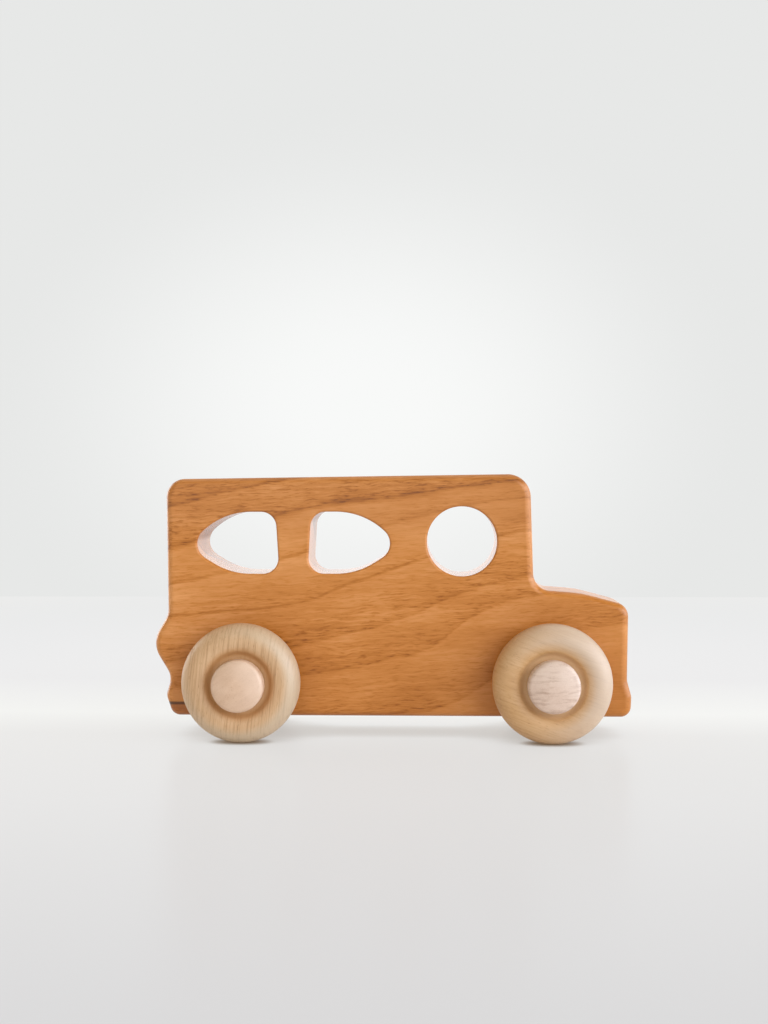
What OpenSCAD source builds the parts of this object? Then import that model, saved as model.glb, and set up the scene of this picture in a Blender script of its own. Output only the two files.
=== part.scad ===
// Wooden toy car: one rounded-over board with three windows and a spare-wheel
// bump, rolling on four turned wheels that glued axle pegs hold.
// Frame: +X is forward, +Z is up, the wheels stand on Z = 0, and the origin is
// below the middle of the car.

/* [Board] */
// Thickness of the board
board_thickness = 25; // [18:0.5:40]
// Height of the roof above the underside, at the front of the roof
board_height = 78.6; // [64:0.1:110]
// How much lower the roof is at the rear
roof_fall = 1.4; // [0:0.1:3]
// How far the roof stands out behind the foot of the rear wall
rear_rake = 0.5; // [0:0.1:2]
// Radius of the round-over on every outer edge
edge_r = 2.4; // [0.5:0.1:3]
// Radius of the roof's front corner
roof_front_r = 7.5; // [4:0.5:9]
// Radius of the roof's rear corner
roof_rear_r = 6; // [4:0.5:9]
// Radius of the two corners of the underside
sill_corner_r = 3.4; // [3.2:0.1:5]

/* [Bonnet] */
// Length from the foot of the windscreen to the nose
bonnet_length = 30; // [24:0.5:50]
// Height of the bonnet above the underside, at the windscreen
bonnet_height = 41.2; // [36:0.1:52]
// How much lower the bonnet is at the nose
bonnet_fall = 5.2; // [2:0.1:6]
// Length of the bonnet's flatter part, from the foot of the windscreen
bonnet_flat = 15.2; // [12:0.1:18]
// How much lower the bonnet is at the end of its flatter part
bonnet_flat_fall = 1.1; // [0:0.1:2]
// Radius of the bend where the bonnet turns down towards the nose
bonnet_bend_r = 40; // [10:1:60]
// How far the windscreen leans back over its height
screen_rake = 1.1; // [0:0.1:6]
// How far the nose leans forward over its height
nose_rake = 0.4; // [0:0.1:2]
// Radius of the hollow at the foot of the windscreen
screen_foot_r = 5.8; // [3:0.1:8]
// Radius of the nose's top corner
nose_r = 4.5; // [3:0.5:8]

/* [Spare wheel bump] */
// How far the bump stands out behind the rear wall
spare_reach = 4.2; // [2:0.1:7]
// Height of the bump's middle above the underside
spare_height = 23.6; // [21:0.1:30]
// Radius of the bump
spare_r = 8.5; // [6:0.5:10]
// Slope of the bump's flanks, from upright
spare_flank = 31; // [26:1:36]
// Radius of the hollow above the bump
spare_top_r = 8.5; // [4:0.5:10]
// How far the waist under the bump lies inside the rear wall
waist_depth = 0.9; // [0:0.1:2]
// Radius of the waist
waist_r = 5.5; // [4:0.5:8]

/* [Bumpers] */
// How far the front bumper stands out from the nose
front_bumper_reach = 1.4; // [0.5:0.1:3]
// How far the rear bumper stands out from the waist
rear_bumper_reach = 1.7; // [0.5:0.1:3]
// Height of the bumpers' middle above the underside
bumper_height = 6.6; // [5:0.1:8]
// Height of the front bumper's top above the underside
bumper_top = 11.7; // [11:0.1:16]
// How far the front bumper draws in down to the underside
front_bumper_tuck = 0.3; // [0:0.1:3]
// How far the rear bumper draws in down to the underside
rear_bumper_tuck = 2.2; // [0:0.1:3]
// Radius of the bumpers
bumper_r = 4; // [3.2:0.1:5]

/* [Windows] */
// Length of a side window, from its upright end to its tip
window_length = 26.7; // [22:0.1:40]
// Height of a side window
window_height = 20.1; // [16:0.1:26]
// Height of a side window's tip above its sill
window_tip_height = 9.8; // [8:0.1:12]
// How far the upright end leans towards the tip
window_lean = 1.2; // [0:0.1:3]
// Slope of the window's lower edge at the tip
window_lower_slope = 32; // [25:1:40]
// Slope of the window's upper edge at the tip
window_upper_slope = 43; // [35:1:50]
// Radius of the two corners at the upright end
window_corner_r = 5; // [3:0.5:6]
// Radius of the long curves above and below the tip
window_sweep_r = 23; // [16:0.5:28]
// Radius of the tip
window_tip_r = 5.5; // [3:0.5:6]
// Diameter of the round window
round_window_d = 22.6; // [16:0.1:26]
// How far the round window's middle lies above the side windows' middle
round_window_rise = 0.4; // [-2:0.1:2]
// Width of the eased edge round each window
window_ease = 0.6; // [0.3:0.1:1.5]
// Wood between the roof and the top of the side windows
roof_rail = 12.1; // [10:0.1:20]
// Wood between the rear wall and the rear window's tip
rear_pillar = 9.9; // [8:0.1:20]
// Wood between the two side windows
middle_pillar = 9.3; // [6:0.1:20]
// Wood between the second side window and the round window
front_pillar = 12; // [6:0.1:24]
// Wood between the round window and the foot of the windscreen
screen_pillar = 11.9; // [9:0.1:24]

/* [Wheels] */
// Diameter of a wheel
wheel_d = 38; // [32:0.5:46]
// Thickness of a wheel
wheel_thickness = 12.5; // [11.5:0.5:18]
// Radius of the tyre's round section
tyre_r = 5.6; // [4:0.1:5.7]
// Diameter of the dish in the wheel's outer face
dish_d = 21.2; // [18:0.2:24]
// Depth of the dish below the tyre's crown
dish_depth = 2.1; // [1:0.1:3]
// Height of the axles above the board's underside
axle_height = 12; // [10:0.5:15]
// Distance from the back of the car to the rear axle
rear_overhang = 29.3; // [26:0.1:40]
// Distance from the front of the car to the front axle
front_overhang = 26.2; // [22:0.1:40]

/* [Axle pegs] */
// Diameter of a peg's shank
shank_d = 8.7; // [6:0.1:11]
// Diameter of a peg's head
head_d = 16.5; // [14:0.1:18]
// Height of the straight part of a head
head_side = 4.2; // [2:0.1:5]
// Radius of the head's rim
head_rim_r = 1.3; // [1:0.1:3]
// Radius of the head's dome
head_dome_r = 30; // [12:0.5:40]
// Chamfer on the hidden end of a shank
shank_chamfer = 0.8; // [0.2:0.1:1.5]

/* [Clearances] */
// Glue gap round a shank in the board
glue_gap = 0.05; // [0.02:0.01:0.1]
// Running clearance round a shank in its wheel
running_gap = 0.35; // [0.1:0.05:0.5]
// Gap between a wheel and the board
wheel_gap = 0.8; // [0.3:0.1:2]
// Gap between a wheel's dish and the peg's head
head_gap = 0.9; // [0.2:0.1:2]
// Gap between the ends of the two pegs in one axle hole
shank_end_gap = 3; // [1:0.5:8]

/* [Hidden] */
$fn = 96;
cherry = [0.78, 0.50, 0.27];
maple = [0.85, 0.71, 0.55];
birch = [0.88, 0.75, 0.62];
// Side of the car, as the sign of Y
right_side = -1;
left_side = 1;
// How far a cutter runs past a face
past = 1;

// Lengths along the car
cabin_length = rear_pillar + window_length + middle_pillar + window_length
    + front_pillar + round_window_d + screen_pillar;
overall_length = spare_reach + cabin_length + bonnet_length + front_bumper_reach;
rear_x = -overall_length / 2;
wall_x = rear_x + spare_reach;
screen_x = wall_x + cabin_length;
nose_x = screen_x + bonnet_length;
front_x = nose_x + front_bumper_reach;
waist_x = wall_x + waist_depth;
rear_bumper_x = waist_x - rear_bumper_reach;
rear_tip_x = wall_x + rear_pillar;
middle_pillar_x = rear_tip_x + window_length;
second_window_x = middle_pillar_x + middle_pillar;
round_window_x = second_window_x + window_length + front_pillar + round_window_d / 2;
rear_axle_x = rear_x + rear_overhang;
front_axle_x = front_x - front_overhang;

// Heights above the floor
axle_z = wheel_d / 2;
sill_z = axle_z - axle_height;
roof_z = sill_z + board_height;
bonnet_z = sill_z + bonnet_height;
bumper_z = sill_z + bumper_height;
spare_z = sill_z + spare_height;
window_sill_z = roof_z - roof_rail - window_height;
round_window_z = window_sill_z + window_height / 2 + round_window_rise;

// Places across the car, out from its middle
face_y = board_thickness / 2;
wheel_back_y = face_y + wheel_gap;
crown_y = wheel_back_y + wheel_thickness;
head_y = crown_y - dish_depth + head_gap;
shank_length = head_y - shank_end_gap / 2;

// The bump's sharp corner, which its radius rounds back to its reach
spare_corner = spare_reach + spare_r * (1 / cos(spare_flank) - 1);
spare_top_z = spare_z + spare_corner / tan(spare_flank);
waist_z = spare_z - (spare_corner + waist_depth) / tan(spare_flank);

// The board's sharp corners, anticlockwise: [x, z, radius]
board_corners = [
    [rear_bumper_x + rear_bumper_tuck, sill_z, sill_corner_r],
    [front_x - front_bumper_tuck, sill_z, sill_corner_r],
    [front_x, bumper_z, bumper_r],
    [nose_x, sill_z + bumper_top, bumper_r],
    [nose_x + nose_rake, bonnet_z - bonnet_fall, nose_r],
    [screen_x + bonnet_flat, bonnet_z - bonnet_flat_fall, bonnet_bend_r],
    [screen_x, bonnet_z, screen_foot_r],
    [screen_x - screen_rake, roof_z, roof_front_r],
    [wall_x - rear_rake, roof_z - roof_fall, roof_rear_r],
    [wall_x, spare_top_z, spare_top_r],
    [wall_x - spare_corner, spare_z, spare_r],
    [waist_x, waist_z, waist_r],
    [rear_bumper_x, bumper_z, bumper_r]
];
// Steps in a quarter of the edge's round-over, and degrees in a step of a corner
edge_steps = 5;
corner_step = 7;

// A side window's sharp corners, anticlockwise from the foot of its upright end
tip_open = (window_lower_slope + window_upper_slope) / 2;
tip_tilt = (window_lower_slope - window_upper_slope) / 2;
tip_x = window_length - window_tip_r + window_tip_r * cos(tip_tilt) / sin(tip_open);
tip_z = window_tip_height + window_tip_r * sin(tip_tilt) / sin(tip_open);
window_corners = [
    [0, 0, window_corner_r],
    [tip_x - tip_z / tan(window_lower_slope), 0, window_sweep_r],
    [tip_x, tip_z, window_tip_r],
    [tip_x - (window_height - tip_z) / tan(window_upper_slope), window_height, window_sweep_r],
    [window_lean, window_height, window_corner_r]
];

// Levels of a window's cutter: its eased edges flare out through both faces
window_levels = [
    [window_ease + past, -face_y - past],
    [0, window_ease - face_y],
    [0, face_y - window_ease],
    [window_ease + past, face_y + past]
];

// Corner i of outline c, counted round and round
function corner(c, i) = c[(i + len(c)) % len(c)];
function point(c, i) = [corner(c, i)[0], corner(c, i)[1]];
// Direction of the edge that leaves corner i
function heading(c, i) =
    let (d = point(c, i + 1) - point(c, i))
    atan2(d[1], d[0]);
// Left turn at corner i; a hollow corner's is negative
function turn(c, i) =
    let (t = heading(c, i) - heading(c, i - 1))
    t - 360 * round(t / 360);
// Length of the edge that leaves corner i
function run(c, i) = norm(point(c, i + 1) - point(c, i));
// Length that the radius asked for at corner i takes from each of its edges
function asked(c, i) = corner(c, i)[2] * tan(abs(turn(c, i)) / 2);
// Share of that radius that fits on both edges
function share(c, i) = min(
    1,
    run(c, i) / (asked(c, i) + asked(c, i + 1)),
    run(c, i - 1) / (asked(c, i - 1) + asked(c, i))
);
function radius(c, i) = corner(c, i)[2] * share(c, i);
// Where the rounding of corner i starts, and the middle of its arc
function arc_start(c, i) =
    let (h = heading(c, i - 1))
    point(c, i) - asked(c, i) * share(c, i) * [cos(h), sin(h)];
function arc_centre(c, i) =
    let (h = heading(c, i - 1))
    arc_start(c, i) + sign(turn(c, i)) * radius(c, i) * [-sin(h), cos(h)];
// Points round corner i of an outline that is moved outwards
function arc(c, i, out) =
    let (
        side = sign(turn(c, i)),
        r = max(radius(c, i) + side * out, 0),
        from = heading(c, i - 1) - 90 * side,
        steps = ceil(abs(turn(c, i)) / corner_step)
    )
    [for (k = [0 : steps])
        let (a = from + turn(c, i) * k / steps)
        arc_centre(c, i) + r * [cos(a), sin(a)]];
function outline(c, out) = [for (i = [0 : len(c) - 1]) each arc(c, i, out)];

// A solid through copies of an outline, each moved outwards and up: [out, height]
module loft(c, levels) {
    n = len(outline(c, 0));
    last = len(levels) - 1;
    polyhedron(
        points = [for (level = levels) for (p = outline(c, level[0])) [p[0], p[1], level[1]]],
        faces = concat(
            [[for (k = [0 : n - 1]) k]],
            [for (l = [0 : last - 1]) for (k = [0 : n - 1])
                [l * n + k, (l + 1) * n + k, (l + 1) * n + (k + 1) % n, l * n + (k + 1) % n]],
            [[for (k = [n - 1 : -1 : 0]) last * n + k]]
        )
    );
}

// The slab with its edges rounded over, lying flat about z = 0
module rounded_slab() {
    middle = face_y - edge_r;
    quarter = [for (k = [0 : edge_steps]) 90 * k / edge_steps];
    upper = [for (a = quarter) [edge_r * (cos(a) - 1), middle + edge_r * sin(a)]];
    lower = [for (k = [edge_steps : -1 : 0]) [upper[k][0], -upper[k][1]]];
    loft(board_corners, concat(lower, upper));
}

module side_window() {
    loft(window_corners, window_levels);
}

module round_window() {
    r = round_window_d / 2;
    rotate_extrude()
        polygon(concat(
            [[0, -face_y - past]],
            [for (level = window_levels) [r + level[0], level[1]]],
            [[0, face_y + past]]
        ));
}

module axle_hole() {
    cylinder(d = shank_d + 2 * glue_gap, h = board_thickness + 2 * past, center = true);
}

// The body: rounded-over slab, windows and axle holes
module board() {
    color(cherry)
        rotate([90, 0, 0])
            difference() {
                rounded_slab();
                translate([middle_pillar_x, window_sill_z]) mirror([1, 0]) side_window();
                translate([second_window_x, window_sill_z]) side_window();
                translate([round_window_x, round_window_z]) round_window();
                for (x = [rear_axle_x, front_axle_x])
                    translate([x, axle_z]) axle_hole();
            }
}

// Half-section of a wheel: x is the radius, y runs out from the back
module wheel_section() {
    crown_r = wheel_d / 2 - tyre_r;
    bore_r = shank_d / 2 + running_gap;
    floor_y = wheel_thickness - dish_depth;
    difference() {
        union() {
            for (y = [tyre_r, wheel_thickness - tyre_r])
                translate([crown_r, y]) circle(tyre_r);
            translate([bore_r, 0]) square([crown_r - bore_r, floor_y]);
            translate([crown_r, tyre_r]) square([tyre_r, wheel_thickness - 2 * tyre_r]);
        }
        translate([0, floor_y]) square([dish_d / 2, dish_depth + past]);
        translate([0, -past]) square([bore_r, wheel_thickness + 2 * past]);
    }
}

// Half-section of a peg: x is the radius, y = 0 is the underside of its head
module peg_section() {
    shank_r = shank_d / 2;
    rim_x = head_d / 2 - head_rim_r;
    dome_y = head_side - sqrt(pow(head_dome_r - head_rim_r, 2) - rim_x * rim_x);
    // The dome runs into the rim where both have this slope
    slope = rim_x / (head_side - dome_y);
    low = head_side / 2;
    high = dome_y + head_dome_r + past;
    polygon([
        [0, -shank_length], [shank_r - shank_chamfer, -shank_length],
        [shank_r, shank_chamfer - shank_length], [shank_r, low], [0, low]
    ]);
    square([head_d / 2, head_side]);
    intersection() {
        translate([rim_x, head_side]) circle(head_rim_r);
        square(head_d);
    }
    intersection() {
        translate([0, dome_y]) circle(head_dome_r);
        polygon([[0, low], [slope * (low - dome_y), low], [slope * (high - dome_y), high], [0, high]]);
    }
}

// Stands a section that is turned about an axle, out from the car's middle on one side
module turned(axle_x, side, y) {
    translate([axle_x, side * y, axle_z])
        rotate([-90 * side, 0, 0])
            rotate_extrude()
                children();
}

module wheel(axle_x, side) {
    color(maple) turned(axle_x, side, wheel_back_y) wheel_section();
}

module peg(axle_x, side) {
    color(birch) turned(axle_x, side, head_y) peg_section();
}

board();
wheel(rear_axle_x, right_side);  // wheel_rear_right
wheel(rear_axle_x, left_side);  // wheel_rear_left
wheel(front_axle_x, right_side);  // wheel_front_right
wheel(front_axle_x, left_side);  // wheel_front_left
peg(rear_axle_x, right_side);  // peg_rear_right
peg(rear_axle_x, left_side);  // peg_rear_left
peg(front_axle_x, right_side);  // peg_front_right
peg(front_axle_x, left_side);  // peg_front_left
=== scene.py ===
"""Looks of a wooden toy car: a cherry board on turned maple wheels, held by birch axle pegs.

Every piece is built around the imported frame, in metres, with +X forward and +Z up.
Outlines and wood figure are written in millimetres, the unit of the maker's drawing.
"""

import logging
import math
from collections.abc import Callable, Sequence
from dataclasses import dataclass
from enum import Enum
from functools import reduce

import bmesh
import bpy
from mathutils import Matrix, Vector
from mathutils.geometry import tessellate_polygon


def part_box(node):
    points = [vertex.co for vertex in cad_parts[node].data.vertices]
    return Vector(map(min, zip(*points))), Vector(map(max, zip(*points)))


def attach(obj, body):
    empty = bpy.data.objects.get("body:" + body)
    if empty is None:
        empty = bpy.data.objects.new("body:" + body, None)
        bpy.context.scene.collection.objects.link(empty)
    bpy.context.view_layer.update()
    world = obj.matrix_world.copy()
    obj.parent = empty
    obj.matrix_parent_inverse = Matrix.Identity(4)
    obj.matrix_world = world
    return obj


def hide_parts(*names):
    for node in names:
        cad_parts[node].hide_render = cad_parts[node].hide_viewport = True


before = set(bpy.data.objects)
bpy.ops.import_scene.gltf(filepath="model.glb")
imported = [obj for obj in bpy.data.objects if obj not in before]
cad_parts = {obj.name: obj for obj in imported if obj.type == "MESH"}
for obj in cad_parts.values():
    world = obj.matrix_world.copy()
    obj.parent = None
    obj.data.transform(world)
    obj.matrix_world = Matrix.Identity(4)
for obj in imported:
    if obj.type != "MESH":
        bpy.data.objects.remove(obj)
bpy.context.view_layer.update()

LOG = logging.getLogger("toy_car")
MM = 0.001
GRAIN = "grain"
WEAR_AND_PAINTED_LIGHT = "wear_and_painted_light"

Socket = bpy.types.NodeSocket
Number = float | Socket
Colour = tuple[float, float, float]
Stops = tuple[tuple[float, Colour], ...]
Ring = list[bmesh.types.BMVert]


class End(Enum):
    """The end of the car that an axle is at."""

    REAR = "rear"
    FRONT = "front"


class Side(Enum):
    """The side of the car, by the sign of Y."""

    RIGHT = -1
    LEFT = 1


def tint(red: int, green: int, blue: int) -> Colour:
    """Turns a display colour into the linear colour that shaders take.

    Args:
        red, green, blue: Channels from 0 to 255.

    Returns:
        The three linear channels.
    """
    channels = (red / 255, green / 255, blue / 255)
    return tuple(c / 12.92 if c <= 0.04045 else ((c + 0.055) / 1.055) ** 2.4 for c in channels)


def set_stops(band: bpy.types.ColorRamp, stops: Stops) -> None:
    """Sets the colours of a ramp.

    Args:
        band: The ramp.
        stops: Places from 0 to 1, each with its colour.
    """
    while len(band.elements) < len(stops):
        band.elements.new(1.0)
    for element, (place, colour) in zip(band.elements, stops):
        element.position = place
        element.color = (*colour, 1.0)


@dataclass(frozen=True)
class Corner:
    """A sharp corner of an outline and the radius that rounds it, in millimetres."""

    x: float
    z: float
    radius: float

    @property
    def place(self) -> Vector:
        """The corner as a point."""
        return Vector((self.x, self.z))


@dataclass(frozen=True)
class Spot:
    """A point of a rounded outline and the direction that faces out of it there."""

    place: Vector
    out: Vector

    def moved(self, reach: float) -> Vector:
        """The point moved out by a reach, in millimetres."""
        return self.place + reach * self.out


@dataclass(frozen=True)
class Outline:
    """A closed outline, anticlockwise, whose corners are rounded with arcs.

    Attributes:
        corners: The sharp corners, in order.
        arc_step: The most that an arc turns between two spots, in degrees.
        longest_run: The longest straight between two spots, in millimetres.
        least_gap: Spots closer than this are taken as one, in millimetres.
    """

    corners: tuple[Corner, ...]
    arc_step: float = 3.0
    longest_run: float = 8.0
    least_gap: float = 0.001

    def _corner(self, i: int) -> Corner:
        """Corner i, counted round and round."""
        return self.corners[i % len(self.corners)]

    def _edge(self, i: int) -> Vector:
        """The edge that leaves corner i."""
        return self._corner(i + 1).place - self._corner(i).place

    def _turn(self, i: int) -> float:
        """The left turn at corner i, in radians; a hollow corner's is negative."""
        before, after = self._edge(i - 1), self._edge(i)
        return math.atan2(before.x * after.y - before.y * after.x, before.dot(after))

    def _asked(self, i: int) -> float:
        """The length that corner i's radius takes from each of its edges."""
        return self._corner(i).radius * math.tan(abs(self._turn(i)) / 2)

    def _share(self, i: int) -> float:
        """The share of corner i's radius that fits on both of its edges."""
        fits = [self._edge(k).length / (self._asked(k) + self._asked(k + 1)) for k in (i - 1, i)]
        return min(1.0, *fits)

    def _arc(self, i: int) -> list[Spot]:
        """Rounds one corner.

        Args:
            i: The corner's number.

        Returns:
            The spots of its arc.
        """
        along = self._edge(i - 1).normalized()
        left = Vector((-along.y, along.x))
        turn = self._turn(i)
        hand = math.copysign(1.0, turn)
        radius = self._corner(i).radius * self._share(i)
        centre = self._corner(i).place - self._asked(i) * self._share(i) * along + hand * radius * left
        steps = max(1, math.ceil(math.degrees(abs(turn)) / self.arc_step))
        spots = []
        for k in range(steps + 1):
            angle = turn * k / steps
            out = -math.cos(angle) * left + math.sin(angle) * along
            spots.append(Spot(centre + hand * radius * out, out))
        return spots

    def spots(self) -> list[Spot]:
        """Every spot of the rounded outline.

        Returns:
            The spots of the arcs in turn, with more between them on the long straight runs.
        """
        arcs = [self._arc(i) for i in range(len(self.corners))]
        found: list[Spot] = []
        for i, arc in enumerate(arcs):
            found += arc
            first, last = arc[-1], arcs[(i + 1) % len(arcs)][0]
            run = last.place - first.place
            parts = math.ceil(run.length / self.longest_run)
            found += [Spot(first.place + run * k / parts, first.out) for k in range(1, parts)]
        return [s for k, s in enumerate(found) if (s.place - found[k - 1].place).length > self.least_gap]


def circle(centre: Vector, radius: float, steps: int = 96) -> list[Spot]:
    """A circle, anticlockwise.

    Args:
        centre: Its centre.
        radius: Its radius.
        steps: How many spots it has.

    Returns:
        Its spots.
    """
    found = []
    for k in range(steps):
        angle = 2 * math.pi * k / steps
        out = Vector((math.cos(angle), math.sin(angle)))
        found.append(Spot(centre + radius * out, out))
    return found


class Skin:
    """A closed surface made ring by ring, with true normals, wear and painted light, and wood coordinates.
    """

    def __init__(self) -> None:
        """Starts with an empty mesh."""
        self.mesh = bmesh.new()
        self.normals: list[Vector] = []
        self.wear_and_painted_light: list[float] = []

    def ring(self, places: Sequence[Vector], normals: Sequence[Vector], wear_and_painted_light: Sequence[float]) -> Ring:
        """Adds a ring of points.

        Args:
            places: The points, in metres.
            normals: The direction that the surface faces at each point.
            wear_and_painted_light: How much handling has polished each and how much painted sheen and
                light it takes, up to 1; below 0, the painted shade in a hollow.

        Returns:
            The new vertices, in order.
        """
        self.normals += [n.normalized() for n in normals]
        self.wear_and_painted_light += wear_and_painted_light
        return [self.mesh.verts.new(p) for p in places]

    def bridge(self, first: Ring, second: Ring) -> None:
        """Joins two rings with faces.

        Args:
            first: One ring.
            second: The other, with as many points in the same order.
        """
        count = len(first)
        for k in range(count):
            after = (k + 1) % count
            self.mesh.faces.new((first[k], first[after], second[after], second[k]))

    def fan(self, ring: Ring, tip: bmesh.types.BMVert) -> None:
        """Joins a ring to one point."""
        for k, vert in enumerate(ring):
            self.mesh.faces.new((vert, ring[(k + 1) % len(ring)], tip))

    def fill(self, rings: Sequence[Ring], side: Side) -> None:
        """Fills the flat between an outer ring and the rings of its holes.

        Args:
            rings: The outer ring, then the holes.
            side: The side of the car that the flat faces.
        """
        verts = [vert for ring in rings for vert in ring]
        loops = [[Vector((vert.co.x, vert.co.z, 0)) / MM for vert in ring] for ring in rings]
        for triangle in tessellate_polygon(loops):
            chosen = [verts[k] for k in triangle]
            self.mesh.faces.new(chosen if side is Side.RIGHT else reversed(chosen))

    def piece(self, name: str, grain: Callable[[Vector], Vector]) -> bpy.types.Object:
        """Turns the surface into an object.

        Args:
            name: The piece's name.
            grain: Gives a point's place in the blank that the piece was cut from, in millimetres.

        Returns:
            The object, in the scene.
        """
        bmesh.ops.recalc_face_normals(self.mesh, faces=self.mesh.faces)
        data = bpy.data.meshes.new(name)
        self.mesh.to_mesh(data)
        self.mesh.free()
        data.shade_smooth()
        data.normals_split_custom_set_from_vertices(self.normals)
        blank = [grain(vert.co) for vert in data.vertices]
        places = data.attributes.new(GRAIN, "FLOAT_VECTOR", "POINT")
        places.data.foreach_set("vector", [part for place in blank for part in place])
        # On the turned pieces this layer also carries the painted sheen and the painted shade in the
        # wheels' dishes.
        wear_and_painted_light_layer = data.attributes.new(WEAR_AND_PAINTED_LIGHT, "FLOAT", "POINT")
        wear_and_painted_light_layer.data.foreach_set("value", self.wear_and_painted_light)
        made = bpy.data.objects.new(name, data)
        bpy.context.scene.collection.objects.link(made)
        return made


@dataclass(frozen=True)
class Figure:
    """A pattern of noise in the wood.

    Attributes:
        pitch: The size of a feature along each of the wood's axes, in millimetres.
        seed: Where in the noise it starts.
        detail: How many finer layers are added.
        rough: How strong the finer layers are.
    """

    pitch: tuple[float, float, float]
    seed: float
    detail: float = 2.0
    rough: float = 0.5


class Graph:
    """A material's nodes, written as formulas."""

    def __init__(self, name: str) -> None:
        """Starts a material with one shader.

        Args:
            name: The material's name.
        """
        self.material = bpy.data.materials.new(name)
        self.material.use_nodes = True
        self.nodes = self.material.node_tree.nodes
        self.links = self.material.node_tree.links
        self.shader = next(n for n in self.nodes if n.type == "BSDF_PRINCIPLED")

    def put(self, socket: Socket, value: Number | Colour) -> None:
        """Links a socket to another, or sets its own value.

        Args:
            socket: The socket that takes the value.
            value: A socket to link it to, or a constant.
        """
        if isinstance(value, Socket):
            self.links.new(value, socket)
        elif isinstance(value, tuple):
            socket.default_value = (*value, 1.0)
        else:
            socket.default_value = value

    def make(self, kind: str, **inputs: Number | Colour) -> bpy.types.Node:
        """Adds a node and sets its inputs.

        Args:
            kind: The node's type.
            inputs: The inputs by name.

        Returns:
            The node.
        """
        node = self.nodes.new(kind)
        for name, value in inputs.items():
            self.put(node.inputs[name], value)
        return node

    def show(self, shader: Socket) -> None:
        """Makes a shader the material's surface."""
        output = next(n for n in self.nodes if n.type == "OUTPUT_MATERIAL")
        self.put(output.inputs["Surface"], shader)

    def math(self, operation: str, first: Number, second: Number = 0.0, clamp: bool = False) -> Socket:
        """Works on one or two numbers.

        Args:
            operation: What is done with them, such as "ADD".
            first: The first number.
            second: The second, where the operation takes two.
            clamp: Whether the result is kept from 0 to 1.

        Returns:
            The result.
        """
        node = self.nodes.new("ShaderNodeMath")
        node.operation = operation
        node.use_clamp = clamp
        self.put(node.inputs[0], first)
        self.put(node.inputs[1], second)
        return node.outputs[0]

    def add(self, *terms: Number) -> Socket:
        """The sum of several numbers."""
        return reduce(lambda total, term: self.math("ADD", total, term), terms)

    def times(self, *terms: Number) -> Socket:
        """The product of several numbers."""
        return reduce(lambda total, term: self.math("MULTIPLY", total, term), terms)

    def less(self, first: Number, second: Number) -> Socket:
        """The first number less the second."""
        return self.math("SUBTRACT", first, second)

    def over(self, first: Number, second: Number) -> Socket:
        """The first number over the second."""
        return self.math("DIVIDE", first, second)

    def far(self, first: Socket, second: Socket) -> Socket:
        """How far a point is from the origin of two coordinates."""
        return self.math("SQRT", self.add(self.times(first, first), self.times(second, second)))

    def span(self, value: Number, low: float, high: float, start: float = 0.0, end: float = 1.0) -> Socket:
        """Maps a number smoothly from one span onto another.

        Args:
            value: The number.
            low, high: The span that it comes from.
            start, end: The span that it goes to.

        Returns:
            The number in the new span, which it doesn't leave.
        """
        node = self.nodes.new("ShaderNodeMapRange")
        node.interpolation_type = "SMOOTHSTEP"
        names = ("Value", "From Min", "From Max", "To Min", "To Max")
        for name, given in zip(names, (value, low, high, start, end)):
            self.put(node.inputs[name], given)
        return node.outputs["Result"]

    def attribute(self, name: str, form: str) -> Socket:
        """Reads one of the mesh's attributes.

        Args:
            name: The attribute's name.
            form: The output that it is read from.

        Returns:
            Its value.
        """
        node = self.nodes.new("ShaderNodeAttribute")
        node.attribute_name = name
        return node.outputs[form]

    def split(self, vector: Socket) -> tuple[Socket, Socket, Socket]:
        """The three parts of a vector."""
        outputs = self.make("ShaderNodeSeparateXYZ", Vector=vector).outputs
        return outputs[0], outputs[1], outputs[2]

    def place(self) -> tuple[Socket, Socket, Socket]:
        """The three coordinates of a point of the object, in metres."""
        return self.split(self.nodes.new("ShaderNodeTexCoord").outputs["Object"])

    def facing(self, axis: int) -> Socket:
        """How squarely the surface faces along one axis of the object, from -1 to 1."""
        return self.split(self.nodes.new("ShaderNodeTexCoord").outputs["Normal"])[axis]

    def openness(self, reach: float) -> Socket:
        """How open the space over a point is within a reach in metres, from 0 to 1."""
        return self.make("ShaderNodeAmbientOcclusion", Distance=reach).outputs["AO"]

    def noise(self, parts: Sequence[Socket], figure: Figure) -> Socket:
        """Soft noise from about -0.5 to 0.5.

        Args:
            parts: The three coordinates, in millimetres.
            figure: The pattern.

        Returns:
            The noise.
        """
        steps = [self.over(part, pitch) for part, pitch in zip(parts, figure.pitch)]
        steps[0] = self.add(steps[0], figure.seed)
        place = self.make("ShaderNodeCombineXYZ", X=steps[0], Y=steps[1], Z=steps[2]).outputs[0]
        node = self.make("ShaderNodeTexNoise", Vector=place, Scale=1.0)
        self.put(node.inputs["Detail"], figure.detail)
        self.put(node.inputs["Roughness"], figure.rough)
        return self.less(node.outputs["Fac"], 0.5)

    def curve(self, value: Socket, points: Sequence[tuple[float, float]], reach: float) -> Socket:
        """A smooth curve.

        Args:
            value: Where along the curve.
            points: The points that it passes through.
            reach: The largest number, either way, that the points hold.

        Returns:
            The curve's height there.
        """
        node = self.nodes.new("ShaderNodeFloatCurve")
        line = node.mapping.curves[0]
        spread = [((x / reach + 1) / 2, (z / reach + 1) / 2) for x, z in points]
        line.points[0].location = spread[0]
        line.points[1].location = spread[-1]
        for place in spread[1:-1]:
            line.points.new(*place)
        node.mapping.update()
        self.put(node.inputs["Value"], self.add(self.times(value, 0.5 / reach), 0.5))
        return self.times(self.less(node.outputs[0], 0.5), 2 * reach)

    def ramp(self, value: Socket, stops: Stops) -> Socket:
        """A colour that runs through the stops as value goes from 0 to 1.

        Args:
            value: Where along the ramp.
            stops: The colours and their places.

        Returns:
            The colour there.
        """
        node = self.make("ShaderNodeValToRGB", Fac=value)
        set_stops(node.color_ramp, stops)
        return node.outputs["Color"]

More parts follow.
